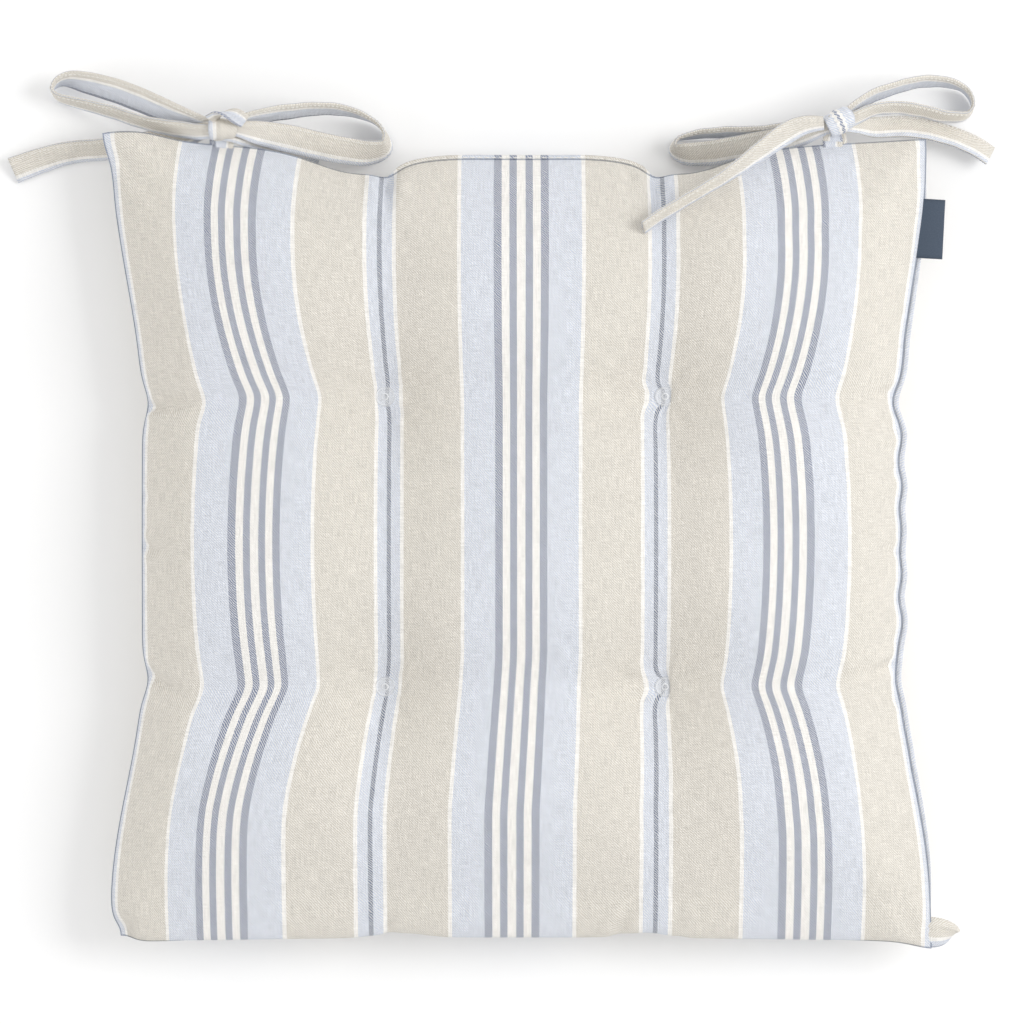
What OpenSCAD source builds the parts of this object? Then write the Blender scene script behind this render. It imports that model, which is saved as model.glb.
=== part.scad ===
// Tufted chair seat pad: two striped panels round a fibre filling, held in by four
// button tufts, with two tied bows at the rear edge and a folded side label.
// +X is the pad's right, +Y its rear (tie) edge, +Z up. The origin is the middle of
// the underside, on the plane that the pad rests on. Millimetres.

/* [Pad] */
// Width across the corners
pad_w = 400; // [380:1:420]
// Front-to-rear size across the corners
pad_d = 392; // [380:1:410]
// Height of the middle of the top face
pad_h = 72; // [64:1:80]
// Height of the edge seam above the rest plane
seam_z = 31; // [28:1:34]
// Thickness of the cloth panels
cloth_t = 0.8; // [0.6:0.1:1]
// Width of the seam allowance turned in behind the seam
allowance = 8; // [6:1:10]
// How far the side edges pull in between the corners
side_pull = 16; // [8:1:20]
// How far the rear edge pulls in at its middle
rear_pull = 9; // [6:1:12]
// How far the front edge pulls in at its middle
front_pull = 6; // [3:1:9]
// Extra pull of the rear edge beside the middle puff
rear_notch = 8; // [6:1:9]

/* [Tufts] */
// Distance of each tuft from the pattern's middle, left to right
tuft_x = 68; // [62:1:72]
// How far the tufts' pattern sits to the right of the pad's middle
tuft_shift = 2; // [0:0.5:3]
// Distance of each tuft from the pad's middle, front to rear
tuft_y = 70.5; // [64:0.5:76]
// Height of the cloth under a top disc
tuft_top_z = 43; // [40:0.5:48]
// Height of the cloth over a bottom disc
tuft_bottom_z = 12; // [9:0.5:16]
// Diameter of a disc
disc_d = 10; // [8:0.5:11]
// Diameter of the stem between two discs
stem_d = 1.2; // [1:0.1:1.4]

/* [Ties] */
// Thickness of the folded tape
tape_t = 1.6; // [1.2:0.1:1.8]
// Diameter of the sewing thread
thread_d = 0.4; // [0.3:0.05:0.5]
// Length of a knot along its strands
knot_l = 11; // [9:1:12]

/* [Label] */
// Length of the label along the seam
label_l = 29; // [24:1:34]
// How far the label stands out of the seam
label_out = 11; // [9:0.5:12]
// Thickness of the folded label
label_t = 0.8; // [0.6:0.1:1]
// Place of the label's middle along the side seam
label_y = 152; // [140:1:160]

/* [Hidden] */
half_w = pad_w / 2;
half_d = pad_d / 2;
puff_top = pad_h - seam_z;
overfill = 4;
puff_bottom = seam_z + overfill;
valley = 0.13;
valley_w = 17;
tuft_reach = 15;
seat = 6;
panel_gap = 0.025;
play = 0.05;
fill_play = 0.4;
stem_hole_r = 1;
colour_beige = [0.86, 0.84, 0.79];
colour_blue = [0.87, 0.89, 0.94];
colour_fibre = [0.97, 0.97, 0.96];
colour_thread = [0.96, 0.95, 0.92];
colour_clear = [0.93, 0.95, 0.97, 0.5];
colour_label = [0.33, 0.37, 0.43];

TUFTS = [for (y = [tuft_y, -tuft_y]) for (x = [-tuft_x, tuft_x]) [x + tuft_shift, y]];

// Grid lines from the middle to an edge: even steps up to a tuft's flat seat, then
// closer and closer steps towards the seam, where the cloth turns down.
inner_steps = [0, 0.38, 0.74];
outer_steps = [0, 0.13, 0.3, 0.47, 0.63, 0.77, 0.88, 0.96, 1];
function stations(tuft, half) = concat(
    [for (s = inner_steps) s * (tuft - seat)],
    [tuft - seat],
    [for (s = outer_steps) tuft + seat + s * (half - tuft - seat)]
);
function both_ways(low, high) = concat([for (i = [len(low) - 1:-1:1]) -low[i]], high);
X_LINES = both_ways(
    stations(tuft_x - tuft_shift, half_w),
    stations(tuft_x + tuft_shift, half_w)
);
Y_LINES = both_ways(stations(tuft_y, half_d), stations(tuft_y, half_d));
n = len(X_LINES);

// Outline: the seam pulls in between the corners
function fall(v) = pow(cos(90 * max(0, min(1, (abs(v) - 0.32) / 0.68))), 2);
function bell(t, middle, spread) = exp(-pow((abs(t) - middle) / spread, 2));
function rear_in(u) = rear_pull * (1 - u * u) + rear_notch * bell(u, 0.42, 0.16);
function front_in(u) = front_pull * (1 - u * u) + 3 * bell(u, 0.36, 0.12);
function edge_share(t) = pow(abs(t), 4);
function plan(x, y) = let (
    u = x / half_w,
    v = y / half_d,
    in_y = v > 0 ? rear_in(u) : front_in(u)
) [
    x - sign(x) * side_pull * fall(v) * edge_share(u),
    y - sign(y) * in_y * edge_share(v)
];

// Height of the filling over the seam: a pillow with valleys and four dimples
function pillow(x, y) = pow(
    (1 - pow(abs(x / half_w), 3.1)) * (1 - pow(abs(y / half_d), 3.1)), 0.43
);
function furrow(t, tuft) = valley * exp(-pow((abs(t) - tuft) / valley_w, 2));
function plain_puff(x, y, full) =
    full * pillow(x, y) * (1 - furrow(x - tuft_shift, tuft_x) - furrow(y, tuft_y));
function past_seat(x, y) =
    max(0, norm([abs(x - tuft_shift) - tuft_x, abs(y) - tuft_y]) - seat * 1.415);
function dimple(x, y) = exp(-pow(past_seat(x, y) / tuft_reach, 1.15));
function puff(x, y, full, tuft_h) = let (
    h = plain_puff(x, y, full),
    top = plain_puff(tuft_x + sign(x) * tuft_shift, tuft_y, full),
    share = dimple(x, y)
) max(0, h * (1 - share) + tuft_h * share * (share > 0.999 ? 1 : h / top));
function top_h(x, y) = puff(x, y, puff_top, tuft_top_z - seam_z - panel_gap);
function bottom_h(x, y) = min(
    seam_z - panel_gap,
    puff(x, y, puff_bottom, seam_z - tuft_bottom_z - panel_gap)
);

// side is 1 for the top panel and -1 for the bottom one
function height(x, y, side) = side > 0 ? top_h(x, y) : bottom_h(x, y);
function inset(x, y, by, power) = plan(x, y) - [
    sign(x) * by * pow(abs(x / half_w), power),
    sign(y) * by * pow(abs(y / half_d), power)
];
function at(p, z) = [p[0], p[1], z];
function outer_grid(side) = [
    for (y = Y_LINES) for (x = X_LINES)
        at(plan(x, y), seam_z + side * (panel_gap + height(x, y, side)))
];
function inner_grid(side) = [
    for (y = Y_LINES) for (x = X_LINES)
        at(
            inset(x, y, cloth_t, 8),
            seam_z + side * (panel_gap + max(height(x, y, side) - cloth_t, cloth_t))
        )
];
function fill_grid(side) = [
    for (y = Y_LINES) for (x = X_LINES)
        at(
            inset(x, y, allowance + 1.5, 8),
            seam_z + side * max(height(x, y, side) - cloth_t - fill_play, 0.5)
        )
];

// The grid's border, anticlockwise seen from above, as indices and as points
BORDER = concat(
    [for (i = [0:n - 2]) i],
    [for (j = [0:n - 2]) (n - 1) + j * n],
    [for (i = [n - 1:-1:1]) i + (n - 1) * n],
    [for (j = [n - 1:-1:1]) j * n]
);
m = len(BORDER);
function border_ring(in_by, z) = [
    for (b = BORDER)
        let (
            x = X_LINES[b % n],
            y = Y_LINES[floor(b / n)],
            p = plan(x, y)
        )
        at([p[0] * (1 - in_by / half_w), p[1] * (1 - in_by / half_d)], z)
];

function split(quads) = [
    for (q = quads) for (f = [[q[0], q[1], q[2]], [q[0], q[2], q[3]]]) f
];
function turned(faces) = [for (f = faces) [f[2], f[1], f[0]]];
// Each cell is cut from its corner nearest the pad's middle to its furthest one
function grid_faces(first) = split([
    for (j = [0:n - 2]) for (i = [0:n - 2])
        let (a = first + i + j * n, same = (2 * i < n - 1) == (2 * j < n - 1))
        same ? [a, a + n, a + n + 1, a + 1] : [a + n, a + n + 1, a + 1, a]
]);
function band_faces(from, to) = split([
    for (k = [0:m - 1])
        let (l = (k + 1) % m) [from[k], from[l], to[l], to[k]]
]);
function shifted(list, by) = [for (v = list) v + by];
function run(first) = [for (k = [0:m - 1]) first + k];

module stem_holes() {
    for (t = TUFTS)
        translate([t[0], t[1], -1])
            cylinder(r = stem_hole_r, h = pad_h + 2, $fn = 24);
}

module panel(side) {
    first_in = n * n;
    low_ring = 2 * n * n;
    high_ring = low_ring + m;
    points = concat(
        outer_grid(side),
        inner_grid(side),
        border_ring(allowance, seam_z + side * panel_gap),
        border_ring(allowance, seam_z + side * (panel_gap + cloth_t))
    );
    faces = concat(
        band_faces(BORDER, run(low_ring)),
        band_faces(run(low_ring), run(high_ring)),
        band_faces(run(high_ring), shifted(BORDER, first_in)),
        grid_faces(0),
        turned(grid_faces(first_in))
    );
    difference() {
        polyhedron(points, side > 0 ? faces : turned(faces));
        stem_holes();
    }
}

module top_panel() {
    color(colour_beige) panel(1);
}

module bottom_panel() {
    color(colour_beige) panel(-1);
}

module fibre_fill() {
    first_low = n * n;
    faces = concat(
        grid_faces(0),
        turned(grid_faces(first_low)),
        turned(band_faces(shifted(BORDER, first_low), BORDER))
    );
    color(colour_fibre)
        difference() {
            polyhedron(concat(fill_grid(1), fill_grid(-1)), faces);
            stem_holes();
        }
}

// Sweeps: a section carried along rings that each have a place, a width direction
// and a thickness direction
function unit(v) = v / norm(v);
function spline(a, b, c, d, t) =
    0.5 * (2 * b + (c - a) * t + (2 * a - 5 * b + 4 * c - d) * t * t
        + (3 * b - a - 3 * c + d) * t * t * t);
function dense(route, steps) = let (last = len(route) - 1) concat(
    [
        for (i = [0:last - 1]) for (k = [0:steps - 1])
            spline(
                route[max(i - 1, 0)], route[i], route[i + 1],
                route[min(i + 2, last)], k / steps
            )
    ],
    [route[last]]
);
function place(p) = [p[0], p[1], p[2]];
function heading(list, i) =
    unit(place(list[min(i + 1, len(list) - 1)]) - place(list[max(i - 1, 0)]));
function level_side(t) = unit(cross(t, [0, 0, 1]));
function width_way(t, tilt) = let (s = level_side(t)) s * cos(tilt) + cross(s, t) * sin(tilt);

module tube(rings) {
    sides = len(rings[0]);
    last = len(rings) - 1;
    skin = split([
        for (i = [0:last - 1]) for (k = [0:sides - 1])
            let (l = (k + 1) % sides, a = i * sides, b = a + sides) [a + k, a + l, b + l, b + k]
    ]);
    caps = [
        [for (k = [sides - 1:-1:0]) k],
        [for (k = [0:sides - 1]) last * sides + k]
    ];
    polyhedron([for (r = rings) for (p = r) p], concat(skin, caps));
}

module closed_tube(rings) {
    sides = len(rings[0]);
    count = len(rings);
    skin = split([
        for (i = [0:count - 1]) for (k = [0:sides - 1])
            let (
                l = (k + 1) % sides,
                a = i * sides,
                b = ((i + 1) % count) * sides
            ) [a + k, a + l, b + l, b + k]
    ]);
    polyhedron([for (r = rings) for (p = r) p], skin);
}

// A flat tape with softened edges, 8 sides round
function tape_section(w) = let (a = w / 2, b = tape_t / 2) [
    [a, -b / 2], [a, b / 2], [a - b, b], [b - a, b],
    [-a, b / 2], [-a, -b / 2], [b - a, -b], [a - b, -b]
];
function tape_rings(route) = let (line = dense(route, tape_steps)) [
    for (i = [0:len(line) - 1])
        let (
            t = heading(line, i),
            w = width_way(t, line[i][3]),
            up = cross(w, t)
        )
        [for (q = tape_section(line[i][4])) place(line[i]) + q[0] * w + q[1] * up]
];
tape_steps = 2;
hem = 1.6;
function thread_section() = let (r = thread_d / 2) [[r, 0], [0, r], [-r, 0], [0, -r]];
// edge is 1 or -1, for the stitched edge of the tape
function thread_rings(route, edge) = let (line = dense(route, tape_steps)) [
    for (i = [0:len(line) - 1])
        let (
            t = heading(line, i),
            w = width_way(t, line[i][3]),
            up = cross(w, t),
            middle = place(line[i]) + edge * (line[i][4] / 2 - hem) * w
                + (tape_t / 2 + thread_d / 2 + play) * up
        )
        [for (q = thread_section()) middle + q[0] * w + q[1] * up]
];

// Tape routes: x, y, z, tilt of the width out of level in degrees, and width. Each
// leaves the rear seam, goes through its knot, round its loop and back through.
LEFT_OUTER = [
    [-147, 195.4, 30.5, 0, 10], [-147.5, 199, 31.2, 0, 8], [-150.5, 202.5, 31.8, 20, 7],
    [-158, 205, 30.5, 36, 9], [-171, 209.5, 26.5, 38, 13], [-186, 216, 21, 36, 14],
    [-202, 222, 15, 38, 14], [-217, 226, 10.5, 50, 14], [-226, 226, 8.8, 72, 14],
    [-230, 222, 8.2, 90, 14], [-226.5, 217.5, 8.2, 101, 14], [-215, 214.5, 9.5, 107, 14],
    [-202, 211, 13.5, 110, 14], [-188, 206, 19, 112, 14], [-174, 202.5, 26, 122, 12],
    [-160, 200, 33, 145, 9], [-150, 199.5, 36.2, 165, 7], [-141, 198.5, 34, 180, 8],
    [-128, 196.5, 25.5, 180, 12], [-113, 194, 14.5, 180, 14], [-99, 192.5, 7, 180, 14]
];
LEFT_INNER = [
    [-145, 195.4, 32.5, 0, 10], [-144.5, 199.5, 34, 0, 8], [-141, 203, 34.5, -20, 7],
    [-131, 206.5, 33, -50, 9], [-117, 209.5, 28.5, -62, 13], [-101, 211.5, 22.5, -68, 14],
    [-86, 211, 16.5, -74, 14], [-74, 207, 11.5, -84, 14], [-67, 200.5, 9, -96, 14],
    [-66.5, 193.5, 9.5, -118, 14], [-74, 190.5, 12, -145, 14], [-86, 191.5, 15.5, -162, 14],
    [-100, 194, 20, -165, 14], [-114, 197, 26, -165, 14], [-128, 199.5, 32, -165, 12],
    [-138, 201, 36.5, -170, 8], [-146, 201.5, 38, -180, 7], [-154, 200.5, 34, -180, 8],
    [-165, 198, 21.5, -170, 11], [-179, 195.5, 13.5, -155, 14], [-193, 193.5, 9.5, -142, 14],
    [-208, 192.5, 7.5, -135, 14], [-222, 191, 6.5, -138, 14], [-236, 187.5, 5, -148, 14],
    [-250, 182.5, 3.6, -158, 14]
];
RIGHT_INNER = [
    [154, 195.4, 30.5, 0, 10], [154, 199.5, 31.2, 0, 8], [150, 203, 31.6, 25, 7],
    [141, 203, 30, 55, 9], [128, 201.5, 26, 68, 13], [114, 200.5, 20.5, 72, 14],
    [100, 200.5, 15, 74, 14], [87, 200, 10.5, 78, 14], [77.5, 197.5, 8.8, 88, 14],
    [75, 193, 8.5, 108, 14], [81, 190.5, 9.5, 138, 14], [92, 190.5, 12.5, 150, 14],
    [106, 192.5, 17.5, 152, 14], [120, 195, 23.5, 152, 14], [134, 198, 29.5, 152, 13],
    [145, 201, 34.5, 160, 9], [154, 203, 36, 170, 7], [163, 203, 31.5, 185, 8],
    [173, 202.5, 22.5, 200, 11], [185, 203.5, 16, 215, 13], [198, 202.5, 11, 222, 14],
    [211, 199.5, 8, 225, 14], [222, 195, 6.4, 225, 14], [231, 189.5, 5.8, 225, 14]
];
RIGHT_OUTER = [
    [152, 195.4, 32.5, 0, 10], [152.5, 199.5, 34.2, 0, 8], [156, 205, 35.5, -25, 7],
    [163, 211.5, 34.5, -55, 9], [172, 217.5, 31, -65, 12], [184, 222, 26, -70, 14],
    [197, 225, 20, -72, 14], [209, 225, 14, -75, 14], [218, 221.5, 9.5, -82, 14],
    [222, 214.5, 8, -90, 14], [218.5, 209, 8.5, -100, 14], [208, 208.5, 12, -108, 14],
    [196, 211, 17.5, -110, 14], [184, 212, 23.5, -110, 14], [172, 210.5, 30, -115, 12],
    [163, 206.5, 35, -135, 9], [155, 203.8, 38.5, -165, 7], [149.5, 203.6, 40, -180, 7.5]
];
RIGHT_TAIL = [
    [147, 203.5, 41, -180, 7], [138, 202.5, 42.4, -165, 9.5], [129, 198.5, 44, -150, 12],
    [119, 191.5, 47, -140, 12], [109, 184, 51, -132, 11], [98, 176.5, 54.5, -125, 10],
    [88, 170, 57, -125, 9], [77, 163.5, 58.5, -125, 9], [67, 157.5, 60.5, -125, 9],
    [59, 151.5, 63, -125, 9]
];

module tape(route) {
    color(colour_beige) tube(tape_rings(route));
}

module tape_stitch(route, edge) {
    color(colour_thread) tube(thread_rings(route, edge));
}

// A knot's wrap: a short band round the strands, flat above and below
knot_r = 5;
knot_half = 1.5;
module knot(middle) {
    color(colour_blue)
        translate(middle - [knot_l / 2, 0, 0])
            rotate([90, 0, 90])
                linear_extrude(knot_l) {
                    square([2 * knot_half, 2 * knot_r], center = true);
                    for (s = [-1, 1])
                        translate([s * knot_half, 0]) circle(knot_r, $fn = 40);
                }
}

// Threads of the seams, on the pad
seam_thread_in = 3;
function loop_rings(in_by, z) = let (
    line = border_ring(in_by, z),
    count = len(line)
) [
    for (i = [0:count - 1])
        let (
            t = unit(line[(i + 1) % count] - line[(i + count - 1) % count]),
            s = level_side(t)
        )
        [for (q = thread_section()) line[i] + q[0] * s + [0, 0, q[1]]]
];
module edge_seam_thread() {
    off = panel_gap + cloth_t + thread_d / 2 + play;
    color(colour_thread)
        for (side = [-1, 1])
            closed_tube(loop_rings(seam_thread_in, seam_z + side * off));
}

closing_half = 62;
closing_step = 4;
module closing_stitch() {
    line = [
        for (x = [-closing_half:closing_step:closing_half])
            at(plan(x, half_d) + [0, thread_d / 2 + play], seam_z)
    ];
    color(colour_thread)
        tube([
            for (i = [0:len(line) - 1])
                let (s = level_side(heading(line, i)))
                [for (q = thread_section()) line[i] + q[0] * s + [0, 0, q[1]]]
        ]);
}

// A short row of stitches on a turned-in allowance, at a place on the seam
bar_w = 1.2;
bar_h = 0.6;
bar_in = 5.5;
module stitch_bar(p, along, length) {
    low = seam_z + panel_gap + cloth_t + play;
    color(colour_thread)
        translate([p[0], p[1], low])
            rotate(along)
                translate([-length / 2, -bar_w / 2, 0])
                    cube([length, bar_w, bar_h]);
}

tie_root_x = [-146, 153];
anchor_l = 14;
module tie_anchor_stitch(x) {
    lean = plan(x + anchor_l / 2, half_d) - plan(x - anchor_l / 2, half_d);
    stitch_bar(plan(x, half_d) - [0, bar_in], atan2(lean[1], lean[0]), anchor_l);
}

module label_stitch() {
    lean = plan(half_w, label_y + label_l / 2) - plan(half_w, label_y - label_l / 2);
    stitch_bar(plan(half_w, label_y) - [bar_in, 0], atan2(lean[1], lean[0]), label_l);
}

// Tufts: a clear disc on each face, and a stem between them
disc_rim = 1.1;
disc_dish = 0.7;
boss_h = 1.4;
module disc() {
    r = disc_d / 2;
    color(colour_clear)
        rotate_extrude($fn = 48)
            polygon([
                [0, 0], [r - 0.4, 0], [r, 0.4], [r - 0.15, disc_rim - 0.15],
                [r - 0.6, disc_rim], [r - 1.2, disc_dish], [1.7, disc_dish],
                [1.3, boss_h - 0.2], [1, boss_h], [0, boss_h]
            ]);
}

module tuft_disc_top(k) {
    translate(at(TUFTS[k], tuft_top_z + play)) disc();
}

module tuft_disc_bottom(k) {
    translate(at(TUFTS[k], tuft_bottom_z - play)) mirror([0, 0, 1]) disc();
}

module tuft_stem(k) {
    color(colour_clear)
        translate(at(TUFTS[k], tuft_bottom_z))
            cylinder(d = stem_d, h = tuft_top_z - tuft_bottom_z, $fn = 24);
}

// Label: one strip folded at its outer end, with its two ends beside the seam
label_stand = 2.2;
label_turn = 3;
leaf_t = 0.3;
module side_label() {
    seam = plan(half_w, label_y);
    r = label_t / 2;
    flat = label_out - r;
    color(colour_label)
        translate([seam[0] + label_stand, seam[1], seam_z])
            rotate([90, 0, -label_turn])
                translate([0, 0, -label_l / 2])
                    linear_extrude(label_l)
                        difference() {
                            union() {
                                translate([0, -r]) square([flat, label_t]);
                                translate([flat, 0]) circle(r, $fn = 24);
                            }
                            translate([-1, leaf_t - r])
                                square([flat + 1, label_t - 2 * leaf_t]);
                        }
}

top_panel();
bottom_panel();
fibre_fill();
edge_seam_thread();
closing_stitch();
for (k = [1:4]) {
    tuft_disc_top(k - 1);
    tuft_disc_bottom(k - 1);
    tuft_stem(k - 1);
}
tape(LEFT_OUTER);  // left_outer_tie
tape(LEFT_INNER);  // left_inner_tie
tape(RIGHT_OUTER);  // right_outer_tie
tape(RIGHT_INNER);  // right_inner_tie
tape(RIGHT_TAIL);  // right_outer_tie_tail
knot([-146, 201.5, 34]);  // left_knot
knot([154, 203, 35]);  // right_knot
tape_stitch(LEFT_OUTER, 1);  // left_outer_tie_stitch
tape_stitch(LEFT_INNER, -1);  // left_inner_tie_stitch
tape_stitch(RIGHT_OUTER, -1);  // right_outer_tie_stitch
tape_stitch(RIGHT_INNER, 1);  // right_inner_tie_stitch
tape_stitch(RIGHT_TAIL, -1);  // right_outer_tail_stitch
tie_anchor_stitch(tie_root_x[0]);  // left_tie_anchor_stitch
tie_anchor_stitch(tie_root_x[1]);  // right_tie_anchor_stitch
side_label();
label_stitch();
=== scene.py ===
"""A tufted chair seat pad with two tied bows and a side label, built round its CAD frame."""

import math

import bpy
import numpy as np
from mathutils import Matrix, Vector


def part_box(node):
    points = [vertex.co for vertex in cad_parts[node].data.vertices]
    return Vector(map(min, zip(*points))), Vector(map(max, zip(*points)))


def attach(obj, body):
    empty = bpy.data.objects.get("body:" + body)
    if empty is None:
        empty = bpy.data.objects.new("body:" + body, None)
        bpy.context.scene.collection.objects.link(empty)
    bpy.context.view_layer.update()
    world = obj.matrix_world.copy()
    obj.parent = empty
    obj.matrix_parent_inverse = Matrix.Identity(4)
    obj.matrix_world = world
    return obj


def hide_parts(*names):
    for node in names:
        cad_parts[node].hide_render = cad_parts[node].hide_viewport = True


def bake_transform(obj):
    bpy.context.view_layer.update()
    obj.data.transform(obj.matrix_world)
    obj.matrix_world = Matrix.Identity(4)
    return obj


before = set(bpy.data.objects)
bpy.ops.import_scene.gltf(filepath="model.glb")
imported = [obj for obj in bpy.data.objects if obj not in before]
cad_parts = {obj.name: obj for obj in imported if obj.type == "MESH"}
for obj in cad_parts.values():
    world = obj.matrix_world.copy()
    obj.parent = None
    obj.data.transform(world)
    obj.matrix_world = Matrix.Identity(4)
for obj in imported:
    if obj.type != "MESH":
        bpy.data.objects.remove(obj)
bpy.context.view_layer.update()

MM = 0.001

# ---------------------------------------------------------------- camera
VIEW_WIDTH = 0.4995  # metres across the frame, at the seam's height
VIEW_CENTRE = (-0.0044, 0.0144)
SEAM_HEIGHT = 0.031
CAMERA_HEIGHT = 3.0


def make_camera():
    data = bpy.data.cameras.new("camera")
    data.sensor_width = 36
    data.lens = 36 * (CAMERA_HEIGHT - SEAM_HEIGHT) / VIEW_WIDTH
    data.clip_end = 20
    camera = bpy.data.objects.new("camera", data)
    camera.location = (*VIEW_CENTRE, CAMERA_HEIGHT)
    bpy.context.collection.objects.link(camera)
    bpy.context.scene.camera = camera


make_camera()


# ---------------------------------------------------------------- meshes
def mesh_object(name, points, faces, material):
    """A smooth shaded object from points in millimetres."""
    mesh = bpy.data.meshes.new(name)
    mesh.from_pydata([tuple(p) for p in np.asarray(points) * MM], [], faces)
    mesh.update()
    mesh.shade_smooth()
    mesh.materials.append(material)
    obj = bpy.data.objects.new(name, mesh)
    bpy.context.collection.objects.link(obj)
    return obj


UV_MAP = "fabric"


def vertex_uv(obj, per_vertex):
    """A UV map from one (u, v) a vertex, in millimetres of flat cloth."""
    layer = obj.data.uv_layers.new(name=UV_MAP)
    loops = np.empty(len(obj.data.loops), np.int32)
    obj.data.loops.foreach_get("vertex_index", loops)
    layer.data.foreach_set("uv", (np.asarray(per_vertex) * MM)[loops].astype(np.float32).ravel())


def subdivide(obj):
    """One level of smooth subdivision, applied."""
    modifier = obj.modifiers.new("subdivision", "SUBSURF")
    modifier.levels = modifier.render_levels = 1
    modifier.boundary_smooth = "PRESERVE_CORNERS"
    bpy.context.view_layer.objects.active = obj
    bpy.ops.object.modifier_apply(modifier=modifier.name)


def joined(parts):
    """One list of points and one of faces from several (points, faces)."""
    points, faces = [], []
    for more, more_faces in parts:
        faces += [tuple(v + len(points) for v in face) for face in more_faces]
        points += list(more)
    return points, faces


# ---------------------------------------------------------------- materials
class Nodes:
    """Short calls for building one material's nodes."""

    def __init__(self, name):
        self.material = bpy.data.materials.new(name)
        self.material.use_nodes = True
        self.tree = self.material.node_tree
        self.shader = self.tree.nodes["Principled BSDF"]

    def new(self, kind, **settings):
        node = self.tree.nodes.new(kind)
        for key, value in settings.items():
            setattr(node, key, value)
        return node

    def link(self, a, b):
        self.tree.links.new(a, b)

    def feed(self, socket, value):
        if isinstance(value, bpy.types.NodeSocket):
            self.link(value, socket)
        else:
            socket.default_value = value

    def math(self, operation, *inputs, clamp=False):
        node = self.new("ShaderNodeMath", operation=operation, use_clamp=clamp)
        for socket, value in zip(node.inputs, inputs):
            self.feed(socket, value)
        return node.outputs[0]

    def mix(self, factor, a, b, blend="MIX"):
        node = self.new("ShaderNodeMix", data_type="RGBA", blend_type=blend)
        self.feed(node.inputs["Factor"], factor)
        self.feed(node.inputs[6], a)
        self.feed(node.inputs[7], b)
        return node.outputs[2]

    def ramp(self, factor, stops):
        node = self.new("ShaderNodeValToRGB")
        ramp = node.color_ramp
        ramp.interpolation = "CONSTANT"
        while len(ramp.elements) < len(stops):
            ramp.elements.new(1)
        for element, (place, colour) in zip(ramp.elements, stops):
            element.position = place
            element.color = (*colour, 1)
        self.feed(node.inputs[0], factor)
        return node.outputs[0]

    def cloth_place(self):
        """The place in the flat cloth, in millimetres."""
        node = self.new("ShaderNodeUVMap", uv_map=UV_MAP)
        split = self.new("ShaderNodeSeparateXYZ")
        self.link(node.outputs[0], split.inputs[0])
        return [self.math("MULTIPLY", s, 1 / MM) for s in split.outputs[:2]]

    def noise(self, x, y, z=0.0, detail=2.0, scale=1.0):
        where = self.new("ShaderNodeCombineXYZ")
        for socket, value in zip(where.inputs, (x, y, z)):
            self.feed(socket, value)
        node = self.new("ShaderNodeTexNoise")
        node.inputs["Scale"].default_value = scale
        node.inputs["Detail"].default_value = detail
        self.link(where.outputs[0], node.inputs["Vector"])
        return node.outputs[0]

    def bump(self, height, distance, strength=1.0):
        node = self.new("ShaderNodeBump")
        node.inputs["Strength"].default_value = strength
        node.inputs["Distance"].default_value = distance
        self.link(height, node.inputs["Height"])
        self.link(node.outputs[0], self.shader.inputs["Normal"])

    def set(self, **values):
        for name, value in values.items():
            self.feed(self.shader.inputs[name.replace("_", " ")], value)


def linear(r, g, b):
    """Linear colour from 0 to 255 display values."""
    return tuple(((c / 255 + 0.055) / 1.055) ** 2.4 if c > 10 else c / 3295 for c in (r, g, b))


BEIGE = linear(211, 204, 191)
BLUE = linear(205, 212, 226)
WHITE = linear(246, 243, 238)
GREY = linear(118, 129, 156)
DARK = linear(104, 116, 140)
WEFT = linear(248, 246, 242)

# One half of the stripes' repeat, in millimetres of flat cloth, from the middle of a
# group of four grey stripes to the middle of the next narrow dark line
HALF_REPEAT = 73.3
STRIPES = (
    (0, WHITE), (2.05, GREY), (5.85, WHITE), (9.95, GREY), (13.75, BLUE),
    (30.9, WHITE), (32.9, BEIGE), (64.9, WHITE), (66.9, BLUE), (72.1, DARK),
)
YARN = 0.52  # millimetres from yarn to yarn
TWILL = 2.6  # yarns from one diagonal line of the twill to the next
HALF_U = 217.0  # half the size of a panel inside its seam, in millimetres of flat cloth
HALF_V = 212.0
SEAM_PAINTED_SHADE = (0.34, 0.38, 0.46)  # painted shade: the cloth is painted darker where it turns into the seam, for the shade of its fold there
SEAM_PAINTED_SHADE_HALF = 0.8


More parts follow.
